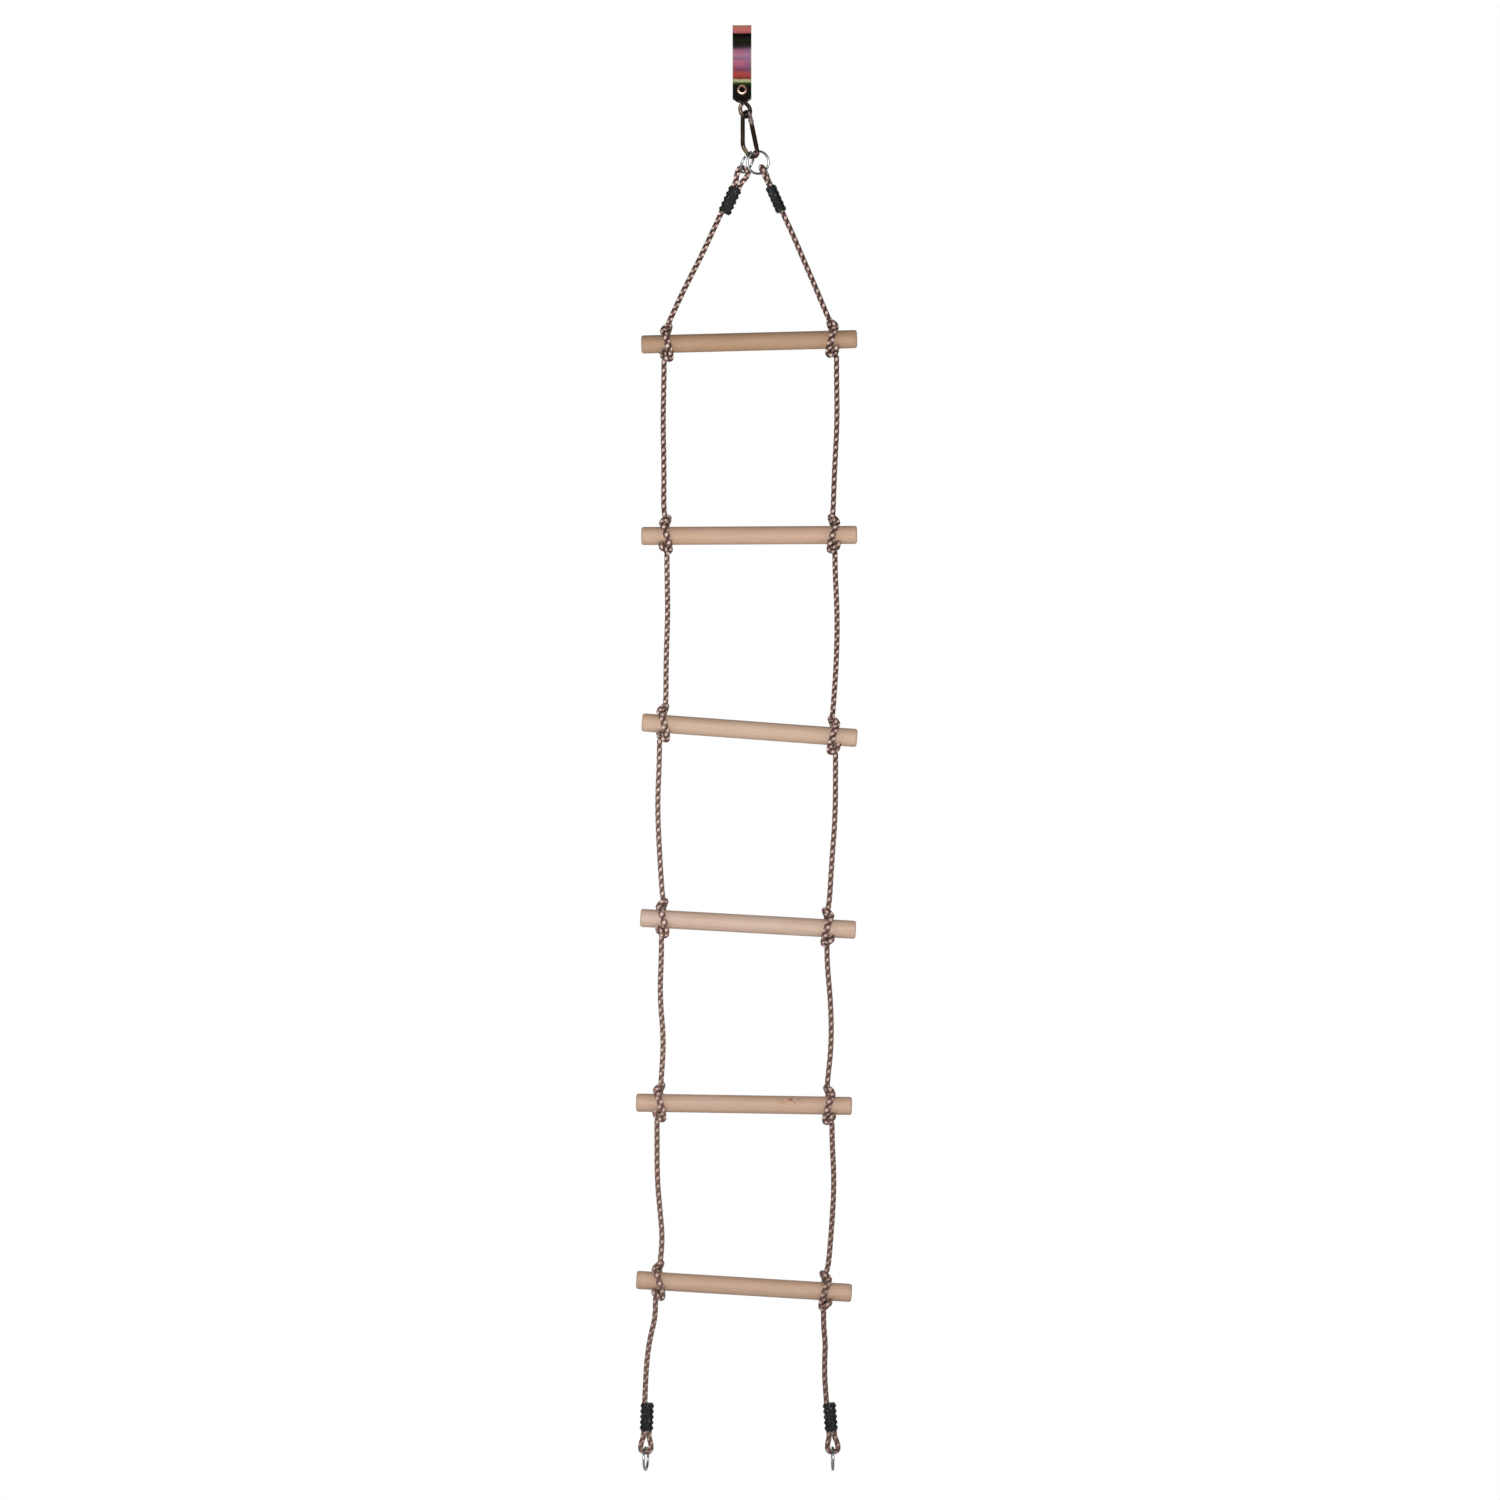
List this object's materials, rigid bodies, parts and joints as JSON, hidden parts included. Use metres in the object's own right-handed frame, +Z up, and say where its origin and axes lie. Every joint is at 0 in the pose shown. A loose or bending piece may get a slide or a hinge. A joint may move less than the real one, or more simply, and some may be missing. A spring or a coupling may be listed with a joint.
{
  "type": "rope ladder",
  "caption": "Hanging rope ladder: turned wooden rungs knotted into two side ropes, joined by rings to a snap hook and a round-beam clamp, with a tie-down ring at each tail.",
  "frame": {"origin": "centre of the round beam, in the middle of the clamp band's width", "axes": "+X along the beam and the rungs, +Y away from the climber, +Z up"},
  "size_m": [0.4028, 0.106, 2.6272],
  "materials": {
    "band_steel": "yellow-passivated zinc with a pink and violet bloom",
    "fastener_steel": "yellow-passivated zinc",
    "link_steel": "passivated zinc, brownish pink",
    "hook_steel": "yellow-passivated zinc, olive",
    "ring_zinc": "bright zinc",
    "sleeve_plastic": "moulded, ribbed, black",
    "rung_beech": "turned and lightly oiled beech",
    "rope_fibre": "braided rope, brown with pale marker yarns"
  },
  "bodies": {
    "beam_clamp": {"clamp_band": "band_steel", "clamp_bolt": "fastener_steel", "clamp_nut": "fastener_steel", "clamp_washer": "fastener_steel", "pivot_bush": "fastener_steel"},
    "link": {"eye_link": "link_steel"},
    "snap_hook": {"hook_body": "hook_steel", "hook_rivet": "hook_steel"},
    "gate": {"hook_gate": "hook_steel", "gate_plunger": "fastener_steel", "gate_spring": "fastener_steel"},
    "rings_and_eyes": {"top_ring_left": "ring_zinc", "top_ring_right": "ring_zinc", "top_eye_left": "rope_fibre", "top_eye_right": "rope_fibre", "top_sleeve_left_front": "sleeve_plastic", "top_sleeve_left_back": "sleeve_plastic", "top_sleeve_right_front": "sleeve_plastic", "top_sleeve_right_back": "sleeve_plastic"},
    "section_1": {"bridle_rope_left": "rope_fibre", "bridle_rope_right": "rope_fibre", "rung_1": "rung_beech", "knot_1_left": "rope_fibre", "knot_1_right": "rope_fibre"},
    "section_2": {"rope_2_left": "rope_fibre", "rope_2_right": "rope_fibre", "rung_2": "rung_beech", "knot_2_left": "rope_fibre", "knot_2_right": "rope_fibre"},
    "section_3": {"rope_3_left": "rope_fibre", "rope_3_right": "rope_fibre", "rung_3": "rung_beech", "knot_3_left": "rope_fibre", "knot_3_right": "rope_fibre"},
    "section_4": {"rope_4_left": "rope_fibre", "rope_4_right": "rope_fibre", "rung_4": "rung_beech", "knot_4_left": "rope_fibre", "knot_4_right": "rope_fibre"},
    "section_5": {"rope_5_left": "rope_fibre", "rope_5_right": "rope_fibre", "rung_5": "rung_beech", "knot_5_left": "rope_fibre", "knot_5_right": "rope_fibre"},
    "section_6": {"rope_6_left": "rope_fibre", "rope_6_right": "rope_fibre", "rung_6": "rung_beech", "knot_6_left": "rope_fibre", "knot_6_right": "rope_fibre"},
    "tail_left": {"tail_rope_left": "rope_fibre", "bottom_eye_left": "rope_fibre", "bottom_sleeve_left_front": "sleeve_plastic", "bottom_sleeve_left_back": "sleeve_plastic"},
    "tail_right": {"tail_rope_right": "rope_fibre", "bottom_eye_right": "rope_fibre", "bottom_sleeve_right_front": "sleeve_plastic", "bottom_sleeve_right_back": "sleeve_plastic"},
    "tie_ring_left": {"bottom_ring_left": "ring_zinc"},
    "tie_ring_right": {"bottom_ring_right": "ring_zinc"}
  },
  "joints": [
    {"name": "link_on_bolt", "type": "hinge", "parent": "beam_clamp", "child": "link", "pos_m": [0, 0, -0.066], "axis": [0, 1, 0], "range_deg": [-30, 30]},
    {"name": "hook_on_link", "type": "hinge", "parent": "link", "child": "snap_hook", "pos_m": [0.00781, 0, -0.11265], "axis": [0.7213, 0.682, 0.1207], "range_deg": [-45, 45]},
    {"name": "gate_opening", "type": "hinge", "parent": "snap_hook", "child": "gate", "pos_m": [0.01612, -0.00891, -0.12124], "axis": [0.7314, 0.682, 0], "range_deg": [0, 18], "stiffness_Nm_per_rad": 0.06, "springref_deg": -20.05},
    {"name": "rings_on_hook", "type": "hinge", "parent": "snap_hook", "child": "rings_and_eyes", "pos_m": [0.02036, -0.01346, -0.187], "axis": [0.682, -0.7314, 0], "range_deg": [-40, 2]},
    {"name": "rope_bend_1", "type": "hinge", "parent": "rings_and_eyes", "child": "section_1", "pos_m": [0.0183, 0.0013, -0.3124], "axis": [0.9999, -0.0133, 0.0015], "range_deg": [-70, 70]},
    {"name": "rope_bend_2", "type": "hinge", "parent": "section_1", "child": "section_2", "pos_m": [0.015, -0.001, -0.5865], "axis": [-0.9998, 0, -0.0223], "range_deg": [-85, 85]},
    {"name": "rope_bend_3", "type": "hinge", "parent": "section_2", "child": "section_3", "pos_m": [0.0163, -0.001, -0.9385], "axis": [1, 0, 0.0033], "range_deg": [-85, 85]},
    {"name": "rope_bend_4", "type": "hinge", "parent": "section_3", "child": "section_4", "pos_m": [0.01, -0.001, -1.2925], "axis": [-0.9974, 0, 0.0717], "range_deg": [-85, 85]},
    {"name": "rope_bend_5", "type": "hinge", "parent": "section_4", "child": "section_5", "pos_m": [0.00405, -0.001, -1.6445], "axis": [0.9984, 0, -0.0564], "range_deg": [-85, 85]},
    {"name": "rope_bend_6", "type": "hinge", "parent": "section_5", "child": "section_6", "pos_m": [0.00455, -0.001, -1.9725], "axis": [-0.9999, 0, 0.0157], "range_deg": [-85, 85]},
    {"name": "tail_bend_left", "type": "hinge", "parent": "section_6", "child": "tail_left", "pos_m": [-0.1573, -0.001, -2.294], "axis": [-1, 0, 0], "range_deg": [-85, 85]},
    {"name": "tail_bend_right", "type": "hinge", "parent": "section_6", "child": "tail_right", "pos_m": [0.1482, -0.001, -2.313], "axis": [-1, 0, 0], "range_deg": [-85, 85]},
    {"name": "tie_ring_swing_left", "type": "hinge", "parent": "tail_left", "child": "tie_ring_left", "pos_m": [-0.17508, -0.001, -2.53895], "axis": [0.9684, -0.2496, 0], "range_deg": [-75, 75]},
    {"name": "tie_ring_swing_right", "type": "hinge", "parent": "tail_right", "child": "tie_ring_right", "pos_m": [0.16552, -0.001, -2.53872], "axis": [0.9996, 0.03, 0], "range_deg": [-75, 75]}
  ]
}
